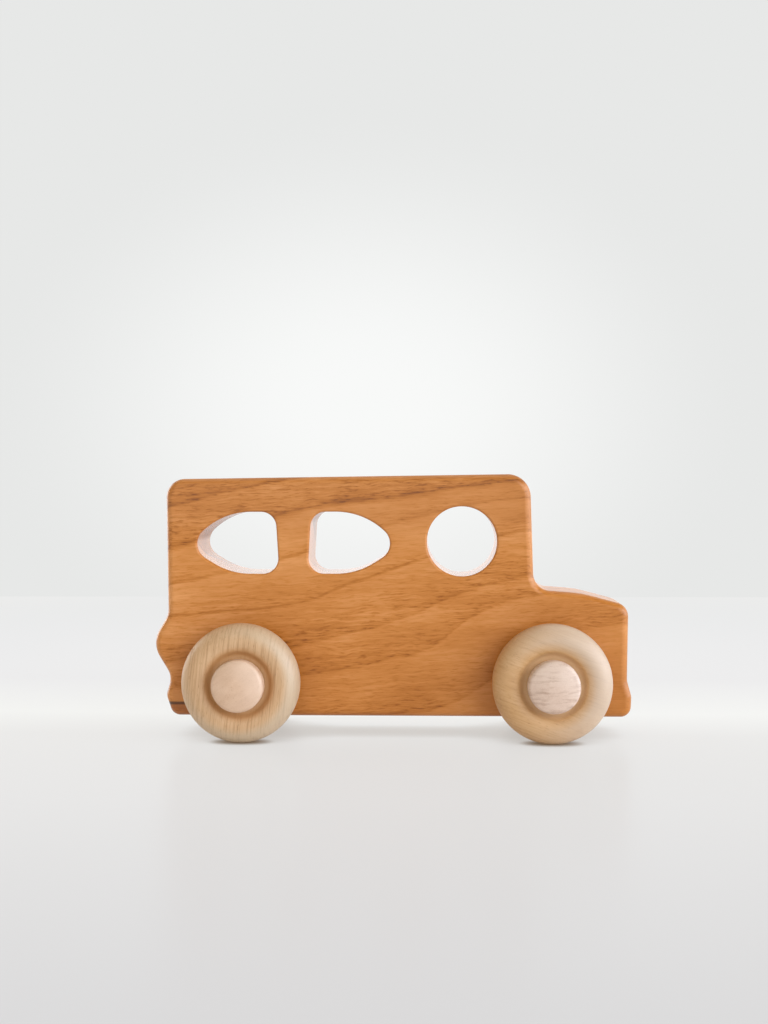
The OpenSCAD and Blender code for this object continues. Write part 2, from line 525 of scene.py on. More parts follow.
    def blend(self, share: Number, first: Socket | Colour, second: Socket | Colour) -> Socket:
        """A mix of two colours.

        Args:
            share: How much of the second there is, from 0 to 1.
            first: The first colour.
            second: The second colour.

        Returns:
            The mix.
        """
        node = self.nodes.new("ShaderNodeMix")
        node.data_type = "RGBA"
        self.put(node.inputs["Factor"], share)
        self.put(node.inputs[6], first)
        self.put(node.inputs[7], second)
        return node.outputs[2]

    def bumps(self, height: Socket, strength: float, depth: float) -> None:
        """Raises the surface.

        Args:
            height: The height map.
            strength: How much of it shows, from 0 to 1.
            depth: The height that 1 stands for, in millimetres.
        """
        node = self.make("ShaderNodeBump", Height=height, Strength=strength, Distance=depth * MM)
        self.put(self.shader.inputs["Normal"], node.outputs[0])


@dataclass(frozen=True)
class GrowthLine:
    """Where one year's wood ends on the board's near face.

    Attributes:
        points: The line's points along the car, in millimetres.
        band: Height of the darker late wood above the line.
        shade: How dark that late wood is.
        width: Thickness of the line itself.
        ink: How dark the line is.
        coarse: How open the pores of the late wood are.
    """

    points: tuple[tuple[float, float], ...]
    band: float
    shade: float
    width: float
    ink: float
    coarse: float


@dataclass(frozen=True)
class Finish:
    """A finish, whose material is made once for all the pieces that have it.

    Attributes:
        name: The material's name.
    """

    name: str

    def material(self) -> bpy.types.Material:
        """The finish as a material."""
        return bpy.data.materials.get(self.name) or self.make()

    def make(self) -> bpy.types.Material:
        """Builds the material; each kind of finish has its own way."""
        raise NotImplementedError


@dataclass(frozen=True)
class CherryFinish(Finish):
    """Oiled cherry, with growth lines that rise towards the front.

    Attributes:
        stops: The wood's colours, from dark to pale.
        gum: The colour of a gum streak low at the rear.
        stain: The redder wood under that streak.
        greyer_near_roof: The greyer wood near the roof.
        lines: The growth lines, from the roof down.
        wave, wave_height: How the fibres wander, and how far in millimetres.
        drift, drift_height: How the growth layers wander, and how far.
        jag, jag_height: How ragged the layers' edges are, and how far.
        fibre: Long streaks along the fibres.
        thread: The finest threads.
        mottle: Broad patches.
        dash: The short dashes of open pores.
        reach: No point of a growth line is further out than this, in millimetres.
        near_face: Where the board's right face is, in millimetres.
        lean: How far the growth layers rise for each millimetre through the board.
        fibre_rise: How far the fibres rise for each millimetre along the car.
        gum_height, gum_lean: Height of the gum streak, and how far it rises through the board.
        gum_fade: Where along the car the streak fades out.
        base_tone, base_rough: Where the wood's tone and roughness start, before its figure.
        specular, coat, coat_rough: The oil's gloss, and its thin coat and that coat's roughness.
        bump_share, bump_depth: How much of the grain is felt, and its depth in millimetres.
    """

    name: str = "oiled_cherry"
    stops: Stops = (
        (0.00, tint(112, 58, 8)),
        (0.30, tint(158, 92, 22)),
        (0.50, tint(180, 112, 41)),
        (0.70, tint(197, 129, 60)),
        (1.00, tint(220, 157, 97)),
    )
    gum: Colour = tint(64, 34, 18)
    stain: Colour = tint(140, 70, 22)
    greyer_near_roof: Colour = tint(178, 128, 92)
    lines: tuple[GrowthLine, ...] = (
        GrowthLine(
            ((-76, 74.5), (-60, 78.4), (-40, 83), (46, 98)),
            band=6.0, shade=0.26, width=0.9, ink=0.16, coarse=1.35,
        ),
        GrowthLine(
            ((-76, 60.8), (-64, 63.8), (-38, 71.7), (-24, 75.2), (3, 78.4), (46, 84.2)),
            band=10, shade=0.27, width=1.6, ink=0.34, coarse=1.35,
        ),
        GrowthLine(
            ((-76, 49.8), (-59, 52.7), (-35, 58.5), (1, 69.5), (29, 75.9), (46, 78.4)),
            band=4, shade=0.12, width=0.9, ink=0.22, coarse=0.35,
        ),
        GrowthLine(
            ((-76, 39.6), (-62, 40.6), (-29, 44.2), (-16, 49.2), (2, 55.6), (36, 66.4), (46, 67.8)),
            band=5, shade=0.13, width=0.8, ink=0.24, coarse=0.25,
        ),
        GrowthLine(
            ((-76, 24), (-52, 27), (-29, 30.4), (-8, 35.2), (5, 39.4), (24, 47.7), (46, 52.6), (77, 55)),
            band=8, shade=0.20, width=0.9, ink=0.10, coarse=0.6,
        ),
        GrowthLine(
            ((-76, 15), (-50, 18.4), (-30, 20.2), (-3, 24.9), (14, 30.7), (28, 40.7), (46, 46), (77, 49)),
            band=8, shade=0.18, width=0.9, ink=0.08, coarse=0.6,
        ),
        GrowthLine(
            ((-76, 2), (-30, 7), (0, 8.5), (18, 10.9), (29, 16.8), (46, 30), (77, 38)),
            band=8, shade=0.16, width=0.9, ink=0.16, coarse=0.6,
        ),
    )
    wave: Figure = Figure((9, 14, 6), 7.3)
    wave_height: float = 1.6
    drift: Figure = Figure((28, 22, 16), 3.1)
    drift_height: float = 2.2
    jag: Figure = Figure((6.5, 2.5, 0.5), 9.4, 3, 0.6)
    jag_height: float = 2.4
    fibre: Figure = Figure((15, 1.2, 0.8), 1.7, 5, 0.62)
    thread: Figure = Figure((3.5, 0.4, 0.22), 5.2, 3, 0.6)
    mottle: Figure = Figure((26, 14, 9), 8.8, 3)
    dash: Figure = Figure((3.6, 0.8, 0.48), 2.3, 3, 0.6)
    reach: float = 100.0
    near_face: float = -12.5
    lean: float = 0.5
    fibre_rise: float = 0.05
    gum_height: float = 11.2
    gum_lean: float = 0.12
    gum_fade: tuple[float, float] = (-66, -56)
    base_tone: float = 0.80
    base_rough: float = 0.40
    specular: float = 0.32
    coat: float = 0.25
    coat_rough: float = 0.24
    bump_share: float = 0.25
    bump_depth: float = 0.12

    def make(self) -> bpy.types.Material:
        """Builds the finish.

        Returns:
            A material that reads the board's wood coordinates.
        """
        g = Graph(self.name)
        x, y, z = g.split(g.attribute(GRAIN, "Vector"))
        through = g.less(y, self.near_face)
        wave = g.times(g.noise((x, y, z), self.wave), self.wave_height)
        parts = (x, y, g.add(z, g.times(x, -self.fibre_rise), wave))
        drift = g.noise(parts, self.drift)
        jag = g.noise(parts, self.jag)
        fibre = g.noise(parts, self.fibre)
        thread = g.noise(parts, self.thread)
        mottle = g.noise(parts, self.mottle)
        dash = g.noise(parts, self.dash)
        wander = (g.times(drift, self.drift_height), g.times(jag, self.jag_height))
        height = g.add(z, g.times(through, self.lean), *wander)
        dark, coarse = self._years(g, x, height, drift, fibre)
        wear_and_painted_light = g.attribute(WEAR_AND_PAINTED_LIGHT, "Fac")
        open_grain = g.span(wear_and_painted_light, 0.3, 1.0, 1.0, 0.3)
        coarse = g.times(g.math("ADD", coarse, 0.22, clamp=True), open_grain)
        pores = g.times(g.span(dash, 0.03, 0.2), coarse)
        end = g.span(g.math("ABSOLUTE", g.facing(0)), 0.55, 0.98)
        # Painted shade low down and at the nose, and painted light at the rear end; darker near the roof.
        foot_shade = g.span(z, 5, 60, -0.13, 0.0)
        roof_shade = g.span(z, 64, 74, 0.0, -0.04)
        rear_painted_light = g.times(g.span(x, -80, -30, 0.14, 0.0), g.span(z, 45, 62, 1.0, 0.0))
        nose_shade = g.span(x, 55, 76, 0.0, -0.10)
        tone = g.add(
            self.base_tone,
            g.times(fibre, 0.26),
            g.times(thread, 0.20),
            g.times(mottle, 0.50),
            g.times(dash, coarse, -0.62),
            foot_shade,
            roof_shade,
            rear_painted_light,
            nose_shade,
            g.times(dark, -1.0),
            g.times(pores, -0.27),
            g.times(end, -0.04),
        )
        gum, under = self._gum_streak(g, x, through, z)
        wood = g.blend(g.span(z, 60, 74, 0.0, 0.16), g.ramp(tone, self.stops), self.greyer_near_roof)
        stained = g.blend(g.times(under, 0.55), wood, self.stain)
        g.put(g.shader.inputs["Base Color"], g.blend(g.times(gum, 0.85), stained, self.gum))
        upward = g.span(g.facing(2), 0.5, 0.95)
        roof_dull = g.span(z, 72, 76, 0.0, 0.28)
        bonnet_dull = g.span(x, 44, 50, 0.0, 0.12)
        rough = g.add(
            self.base_rough,
            g.times(thread, 0.16),
            g.times(pores, 0.14),
            g.times(wear_and_painted_light, -0.13),
            g.times(end, 0.03),
            g.times(upward, g.add(roof_dull, bonnet_dull)),
        )
        g.put(g.shader.inputs["Roughness"], rough)
        relief = g.add(g.times(thread, 0.7), g.times(fibre, 0.5), g.times(pores, -0.8))
        g.bumps(g.times(relief, open_grain), self.bump_share, self.bump_depth)
        g.shader.inputs["Specular IOR Level"].default_value = self.specular
        g.shader.inputs["Coat Weight"].default_value = self.coat
        g.shader.inputs["Coat Roughness"].default_value = self.coat_rough
        return g.material

    def _years(
        self, g: Graph, x: Socket, height: Socket, drift: Socket, fibre: Socket
    ) -> tuple[Socket, Socket]:
        """The growth lines, and the late wood above each.

        Args:
            g: The material's nodes.
            x: The place along the car.
            height: The place across the growth layers.
            drift: Noise that breaks up the lines.
            fibre: Noise that streaks the late wood.

        Returns:
            How dark they make the wood, and how coarse its pores are.
        """
        dark, coarse = [], []
        streaks = g.span(fibre, -0.22, 0.22, 1.35, 0.55)
        broken = g.span(drift, -0.25, 0.25, 0.4, 1.3)
        for line in self.lines:
            above = g.less(height, g.curve(x, line.points, self.reach))
            fade = g.math("EXPONENT", g.over(g.math("MAXIMUM", above, 0.0), -line.band))
            late = g.times(fade, g.span(above, -0.4, 0.4))
            stroke = g.span(g.math("ABSOLUTE", above), 0.0, line.width, 1.0, 0.0)
            dark += [g.times(late, streaks, line.shade), g.times(stroke, broken, line.ink)]
            coarse.append(g.times(late, line.coarse))
        return g.add(*dark), g.add(*coarse)

    def _gum_streak(self, g: Graph, x: Socket, through: Socket, z: Socket) -> tuple[Socket, Socket]:
        """A dark gum streak low at the rear, and the redder wood under it.

        Args:
            g: The material's nodes.
            x: The place along the car.
            through: The place through the board, from its right face.
            z: The height.

        Returns:
            How much of the streak shows, and how much of the redder wood.
        """
        above = g.less(g.add(z, g.times(through, self.gum_lean)), self.gum_height)
        near = g.span(x, *self.gum_fade, 1.0, 0.0)
        streak = g.times(g.span(g.math("ABSOLUTE", above), 0.2, 0.75, 1.0, 0.0), near)
        under = g.times(g.span(above, -0.6, 0.0, 1.0, 0.0), near)
        return streak, under


@dataclass(frozen=True)
class TurnedFinish(Finish):
    """Bare pale wood, turned and sanded, with fine straight grain.

    Attributes:
        stops: The wood's colours, from dark to pale.
        line_pitch: Distance between growth lines, in millimetres.
        line_depth: How dark the growth lines are.
        broad_depth: How much the wood's colour drifts.
        pale: The paler colour of the painted sheen on one side of each tread and each peg's dome, and of
            the painted light on a dish's floor.
        painted_sheen_share: How much of it shows there.
        dish_shade: The browner colour of the painted shade in a wheel's dish.
        broad: The drift of the wood's colour.
        thread: The finest threads.
        fleck: Short dark flecks.
        base_tone, base_rough: Where the wood's tone and roughness start, before its figure.
        specular: The bare wood's gloss.
        bump_share, bump_depth: How much of the grain is felt, and its depth in millimetres.
    """

    stops: Stops
    line_pitch: float
    line_depth: float
    broad_depth: float
    pale: Colour
    painted_sheen_share: float
    dish_shade: Colour = tint(190, 138, 82)
    broad: Figure = Figure((60, 4.5, 7), 7.7, 3)
    thread: Figure = Figure((4, 0.3, 0.3), 1.4, 3, 0.6)
    fleck: Figure = Figure((1.8, 0.4, 0.4), 6.6)
    base_tone: float = 0.68
    base_rough: float = 0.55
    specular: float = 1.0
    bump_share: float = 0.22
    bump_depth: float = 0.10

    @property
    def growth(self) -> Figure:
        """The growth lines: long along the fibres and narrow across them."""
        return Figure((34, self.line_pitch, 6 * self.line_pitch), 4.2, 3, 0.65)

    def make(self) -> bpy.types.Material:
        """Builds the finish.

        Returns:
            A material that reads the piece's wood coordinates, whose first axis runs along the fibres.
        """
        g = Graph(self.name)
        parts = g.split(g.attribute(GRAIN, "Vector"))
        lines = g.span(g.noise(parts, self.growth), -0.04, 0.2)
        broad = g.noise(parts, self.broad)
        thread = g.noise(parts, self.thread)
        fleck = g.span(g.noise(parts, self.fleck), 0.10, 0.24)
        tone = g.add(
            self.base_tone,
            g.times(broad, self.broad_depth),
            g.times(lines, -self.line_depth),
            g.times(thread, 0.36),
            g.times(fleck, -0.22),
        )
        wear_and_painted_light = g.attribute(WEAR_AND_PAINTED_LIGHT, "Fac")
        # Painted shade: the browner colour in a wheel's dish, where the layer is below 0.
        dish_shade_share = g.span(wear_and_painted_light, -1.0, 0.0, 0.8, 0.0)
        # Painted sheen: the paler colour where the layer is above 0, with a little even polish on the
        # pegs' domes.
        polish_and_painted_light = g.span(wear_and_painted_light, 0.0, 1.0, 0.0, self.painted_sheen_share)
        sanded = g.blend(polish_and_painted_light, g.ramp(tone, self.stops), self.pale)
        g.put(g.shader.inputs["Base Color"], g.blend(dish_shade_share, sanded, self.dish_shade))
        rough = g.add(self.base_rough, g.times(thread, 0.18), g.times(wear_and_painted_light, -0.05))
        g.put(g.shader.inputs["Roughness"], rough)
        relief = g.add(g.times(thread, 0.8), g.times(lines, -0.4), g.times(fleck, -0.5))
        g.bumps(relief, self.bump_share, self.bump_depth)
        g.shader.inputs["Specular IOR Level"].default_value = self.specular
        return g.material


MAPLE: dict[End, Finish] = {
    End.REAR: TurnedFinish(
        name="lined_maple",
        stops=(
            (0.00, tint(130, 91, 54)),
            (0.35, tint(176, 135, 91)),
            (0.65, tint(201, 165, 123)),
            (1.00, tint(219, 191, 158)),
        ),
        line_pitch=0.55,
        line_depth=0.34,
        broad_depth=0.25,
        pale=tint(192, 181, 160),
        painted_sheen_share=0.6,
    ),
    End.FRONT: TurnedFinish(
        name="plain_maple",
        stops=(
            (0.00, tint(130, 86, 38)),
            (0.35, tint(176, 129, 74)),
            (0.65, tint(201, 159, 106)),
            (1.00, tint(219, 186, 143)),
        ),
        line_pitch=0.6,
        line_depth=0.16,
        broad_depth=0.4,
        pale=tint(196, 186, 176),
        painted_sheen_share=0.6,
        dish_shade=tint(207, 168, 124),
    ),
}
BIRCH: dict[End, Finish] = {
    End.REAR: TurnedFinish(
        name="turned_birch",
        stops=(
            (0.00, tint(156, 116, 83)),
            (0.35, tint(191, 156, 126)),
            (0.65, tint(210, 179, 152)),
            (1.00, tint(228, 204, 182)),
        ),
        line_pitch=1.2,
        line_depth=0.08,
        broad_depth=0.7,
        pale=tint(228, 208, 192),
        painted_sheen_share=0.35,
    ),
    End.FRONT: TurnedFinish(
        name="pale_birch",
        stops=(
            (0.00, tint(160, 127, 108)),
            (0.35, tint(195, 169, 152)),
            (0.65, tint(214, 192, 177)),
            (1.00, tint(229, 213, 203)),
        ),
        line_pitch=0.9,
        line_depth=0.36,
        broad_depth=0.5,
        pale=tint(222, 208, 198),
        painted_sheen_share=0.25,
    ),
}


@dataclass
class Board:
    """The body: a rounded-over slab with three windows and two axle holes, in millimetres.

    Attributes:
        finish: Its wood.
        node: The frame's node that it stands for.
        edge_radius, edge_steps: Radius of the rounded outer edges, and the steps in each.
        window_ease: Radius of the windows' eased edges.
        hole_ease: Radius of the axle holes' eased edges.
        ease_steps: Steps in each eased edge.
        hole_radius: Radius of the axle holes.
        round_window: The round window's centre and radius.
        side_window: A side window's sharp corners, from the foot of its upright end.
        sill: Height of the side windows' sills.
        rear_window_x: Where the rear window's upright end stands; its tip points back.
        middle_window_x: Where the middle window's upright end stands; its tip points forward.
        outline: The outside of the board, from its rear foot.
    """

    finish: Finish = CherryFinish()
    node: str = "board"
    edge_radius: float = 2.4
    edge_steps: int = 10
    window_ease: float = 0.8
    hole_ease: float = 0.2
    ease_steps: int = 5
    hole_radius: float = 4.4
    round_window: Corner = Corner(22.75, 63.85, 11.3)
    side_window: tuple[Corner, ...] = (
        Corner(0, 0, 5),
        Corner(15.9, 0, 23),
        Corner(30.19, 8.93, 5.5),
        Corner(18.22, 20.1, 23),
        Corner(1.2, 20.1, 5),
    )
    sill: float = 53.4
    rear_window_x: float = -36.55
    middle_window_x: float = -27.25
    outline: Outline = Outline(
        (
            Corner(-71.75, 7, 3.4),
            Corner(77.05, 7, 3.4),
            Corner(77.35, 13.6, 4),
            Corner(75.95, 18.7, 4),
            Corner(76.35, 43, 4.5),
            Corner(61.15, 47.1, 40),
            Corner(45.95, 48.2, 5.8),
            Corner(44.85, 85.6, 7.5),
            Corner(-73.65, 84.2, 6),
            Corner(-73.15, 39.95, 8.5),
            Corner(-78.77, 30.6, 8.5),
            Corner(-72.25, 19.76, 5.5),
            Corner(-73.95, 13.6, 4),
        )
    )

    def openings(self) -> list[tuple[list[Spot], float]]:
        """The windows and axle holes.

        Returns:
            The outline of each, with the radius of its eased edge.
        """
        shape, sill = self.side_window, self.sill
        rear = tuple(Corner(self.rear_window_x - c.x, sill + c.z, c.radius) for c in reversed(shape))
        middle = tuple(Corner(self.middle_window_x + c.x, sill + c.z, c.radius) for c in shape)
        found = [(Outline(corners).spots(), self.window_ease) for corners in (rear, middle)]
        found.append((circle(self.round_window.place, self.round_window.radius), self.window_ease))
        for end in End:
            low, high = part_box(f"wheel_{end.value}_right")
            axle = (low + high) / 2 / MM
            found.append((circle(Vector((axle.x, axle.z)), self.hole_radius), self.hole_ease))
        return found

    def build(self) -> bpy.types.Object:
        """Builds the board's mesh.

        Returns:
            The board, riding on the car.
        """
        low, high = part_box(self.node)
        face = (high.y - low.y) / 2 / MM
        skin = Skin()
        flats: dict[Side, list[Ring]] = {Side.RIGHT: [], Side.LEFT: []}
        walls = [(self.outline.spots(), self.edge_radius, self.edge_steps, 1)]
        walls += [(spots, ease, self.ease_steps, -1) for spots, ease in self.openings()]
        for spots, ease, steps, hand in walls:
            rings = self._wall(skin, spots, face, ease, steps, hand)
            for first, second in zip(rings[:-1], rings[1:]):
                skin.bridge(first, second)
            flats[Side.RIGHT].append(rings[0])
            flats[Side.LEFT].append(rings[-1])
        for side, rings in flats.items():
            skin.fill(rings, side)
        made = skin.piece("cherry_board", lambda p: p / MM)
        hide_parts(self.node)
        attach(made, "car")
        return made

    def dress(self, piece: bpy.types.Object) -> None:
        """Gives the board its finish."""
        piece.data.materials.append(self.finish.material())

    def _wall(
        self, skin: Skin, spots: Sequence[Spot], face: float, ease: float, steps: int, hand: int
    ) -> list[Ring]:
        """The rings of a wall between the two faces, with its edges rounded over.

        Args:
            skin: The surface that takes the rings.
            spots: The wall's outline.
            face: Half the board's thickness.
            ease: Radius of the rounded edges.
            steps: Steps in each rounded edge.
            hand: 1 for the outside of the board, and -1 for a hole in it.

        Returns:
            The rings, from the right face to the left one.
        """
        quarter = [math.pi / 2 * k / steps for k in range(steps + 1)]
        near = [(Side.RIGHT.value, angle) for angle in reversed(quarter)]
        far = [(Side.LEFT.value, angle) for angle in quarter]
        rings = []
        for sign, angle in near + far:
            outward, sideways = math.cos(angle), math.sin(angle)
            reach = hand * ease * (outward - 1)
            y = sign * (face - ease + ease * sideways)
            places = [s.moved(reach) for s in spots]
            points = [Vector((p.x, y, p.y)) * MM for p in places]
            flat = hand * outward
            normals = [Vector((flat * s.out.x, sign * sideways, flat * s.out.y)) for s in spots]
            rings.append(skin.ring(points, normals, [outward] * len(spots)))
        return rings


@dataclass
class Turning:
    """A piece turned on a lathe about its axle.

    Attributes:
        end: The end of the car that it is at.
        side: The side of the car that it is on.
        finish: Its wood.
        fibre: How far its fibres are turned, in degrees.
        offset: Where in the length of wood it was cut, in millimetres.
        painted_sheen_turn: Where round the axle its side with the painted sheen is, in degrees from +X
            towards +Z.
        steps: Faces round it.
    """

    end: End
    side: Side
    finish: Finish
    fibre: float
    offset: float
    painted_sheen_turn: float
    steps: int = 128

    @property
    def where(self) -> str:
        """The end and side of the car, as in the names of its nodes."""
        return f"{self.end.value}_{self.side.name.lower()}"

    def dress(self, piece: bpy.types.Object) -> None:
        """Gives the turned piece its finish."""
        piece.data.materials.append(self.finish.material())

    def painted_sheen_side(self, angle: float) -> float:
        """How far onto the side with the painted sheen an angle round the axle is, from 0 to 1."""
        return 0.5 + 0.5 * math.cos(angle - math.radians(self.painted_sheen_turn))

    def polish_and_painted_light(self, spot: Spot, angle: float) -> float:
        """The polish and the painted light and shade at a spot of the profile, at an angle round the axle;
        each kind has its own.
        """
        raise NotImplementedError

    def in_blank(self, p: Vector) -> Vector:
        """A point's place in the blank, along the fibres first; each kind has its own."""
        raise NotImplementedError

    def lathe(self, skin: Skin, profile: Sequence[Spot], axle: Vector, base: float) -> list[Ring]:
        """Turns a profile about the axle.

        Args:
            skin: The surface that takes the rings.
            profile: Spots whose x is the radius and y the height out from the base, in millimetres.
            axle: A point on the axle, in metres.
            base: Height zero of the profile, out from the middle of the car, in millimetres.

        Returns:
            The rings, in the profile's order.
        """
        rings = []
        angles = [2 * math.pi * k / self.steps for k in range(self.steps)]
        for spot in profile:
            radius = spot.place.x * MM
            height = self.side.value * (base + spot.place.y) * MM
            lift = self.side.value * spot.out.y
            places, normals = [], []
            for angle in angles:
                round_x, round_z = math.cos(angle), math.sin(angle)
                places.append(Vector((axle.x + radius * round_x, height, axle.z + radius * round_z)))
                normals.append(Vector((spot.out.x * round_x, lift, spot.out.x * round_z)))
            rings.append(skin.ring(places, normals, [self.polish_and_painted_light(spot, angle) for angle in angles]))
        return rings

    def cut(self, skin: Skin, name: str, axle: Vector) -> bpy.types.Object:
        """Turns the surface into a piece whose fibres lie as they were cut.

        Args:
            skin: The piece's surface.
            name: Its name.
            axle: A point on the axle, in metres.

        Returns:
            The piece.
        """
        turn = Matrix.Rotation(math.radians(self.fibre), 3, "Y")
        return skin.piece(name, lambda p: self.in_blank(turn @ (p - axle)))


@dataclass(frozen=True)
class WheelPaintedLight:
    """Where a wheel takes painted shade in its dish and a painted sheen on its tread, in millimetres out
    from its axle.

    Attributes:
        dish_shade_end: Where the painted shade in the dish ends.
        painted_sheen_start: Where the painted sheen on the tread starts.
        painted_sheen_run: How much further out it is strongest.
        spread: How narrow the side with the painted sheen is; 0 is all round.
    """

    dish_shade_end: float
    painted_sheen_start: float
    painted_sheen_run: float
    spread: float


WHEEL_PAINTED_LIGHT: dict[End, WheelPaintedLight] = {
    End.REAR: WheelPaintedLight(dish_shade_end=12.5, painted_sheen_start=13.2, painted_sheen_run=3.2, spread=0.5),
    End.FRONT: WheelPaintedLight(dish_shade_end=11.2, painted_sheen_start=9.6, painted_sheen_run=4.6, spread=0.8),
}


@dataclass
class Wheel(Turning):
    """A turned wheel with a round tyre, a dished hub and a bore for its peg, in millimetres.

    Attributes:
        bore_radius: Radius of the bore.
        back_ease, floor_ease: Radii of the bore's edges, at the back and in the dish.
        tyre_radius: Radius of the tyre's round edges.
        slope_x: Where the face starts to slope into the dish.
        lip_x, lip_drop, lip_radius: Where the dish's lip is, how far below the face, and its radius.
        foot_x, foot_radius: Where the foot of the dish's wall is, and its radius.
        dish_depth: Depth of the dish.
        wall_x: Where the painted shade in the dish is darkest.
        floor_run, floor_painted_light: How far in from there the dish's floor takes painted light and gets
            a little smoother, and the most it does.
        arc_step, longest_run: The section's largest turn and longest straight between two spots.
    """

    bore_radius: float = 4.7
    back_ease: float = 0.4
    floor_ease: float = 0.3
    tyre_radius: float = 5.6
    slope_x: float = 12.3
    lip_x: float = 10.8
    lip_drop: float = 0.75
    lip_radius: float = 3.0
    foot_x: float = 9.5
    foot_radius: float = 1.6
    dish_depth: float = 2.1
    wall_x: float = 9.9
    floor_run: float = 4.0
    floor_painted_light: float = 0.4
    arc_step: float = 6.0
    longest_run: float = 3.0

    def build(self) -> bpy.types.Object:
        """Builds the wheel's mesh.

        Returns:
            The wheel, riding on its own body.
        """
        node = f"wheel_{self.where}"
        low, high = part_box(node)
        axle = (low + high) / 2
        radius = (high.z - low.z) / 2 / MM
        thick = (high.y - low.y) / MM
        base = abs(axle.y) / MM - thick / 2
        skin = Skin()
        rings = self.lathe(skin, self._section(radius, thick).spots(), axle, base)
        for first, second in zip(rings, rings[1:] + rings[:1]):
            skin.bridge(first, second)
        made = self.cut(skin, f"maple_{node}", axle)
        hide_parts(node)
        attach(made, f"{self.where}_wheel")
        return made

    def polish_and_painted_light(self, spot: Spot, angle: float) -> float:
        """The painted sheen of the tread, most on one side, with painted shade in the dish and painted
        light on its floor.

        Args:
            spot: A spot of the wheel's section.
            angle: Where it is round the axle, in radians from +X towards +Z.

        Returns:
            The painted light and shade, from -1 to 1.
        """
        wear_and_painted_light, radius = WHEEL_PAINTED_LIGHT[self.end], spot.place.x
        # Painted sheen, growing out across the tread and strongest on one side.
        pale = min(1.0, max(0.0, (radius - wear_and_painted_light.painted_sheen_start) / wear_and_painted_light.painted_sheen_run))
        tread = self.painted_sheen_side(angle) ** wear_and_painted_light.spread * pale
        # Painted shade in the dish, and painted light on its floor near the bore.
        dish = max(-1.0, min(0.0, (radius - wear_and_painted_light.dish_shade_end) / (wear_and_painted_light.dish_shade_end - self.wall_x)))
        floor = min(self.floor_painted_light, max(0.0, (self.wall_x - radius) / self.floor_run))
        return tread + dish + floor

    def in_blank(self, p: Vector) -> Vector:
        """A point's place in the wheel's blank: along the fibres, across them and through it."""
        return Vector((p.x / MM, p.z / MM + self.offset, p.y / MM))

    def _section(self, radius: float, thick: float) -> Outline:
        """The wheel's section on one side of its axle.

        Args:
            radius: The wheel's radius.
            thick: Its thickness.

        Returns:
            The section, from the bore's edge at the back.
        """
        floor = thick - self.dish_depth
        corners = (
            Corner(self.bore_radius, 0, self.back_ease),
            Corner(radius, 0, self.tyre_radius),
            Corner(radius, thick, self.tyre_radius),
            Corner(self.slope_x, thick, self.tyre_radius),
            Corner(self.lip_x, thick - self.lip_drop, self.lip_radius),
            Corner(self.foot_x, floor, self.foot_radius),
            Corner(self.bore_radius, floor, self.floor_ease),
        )
        return Outline(corners, self.arc_step, self.longest_run)


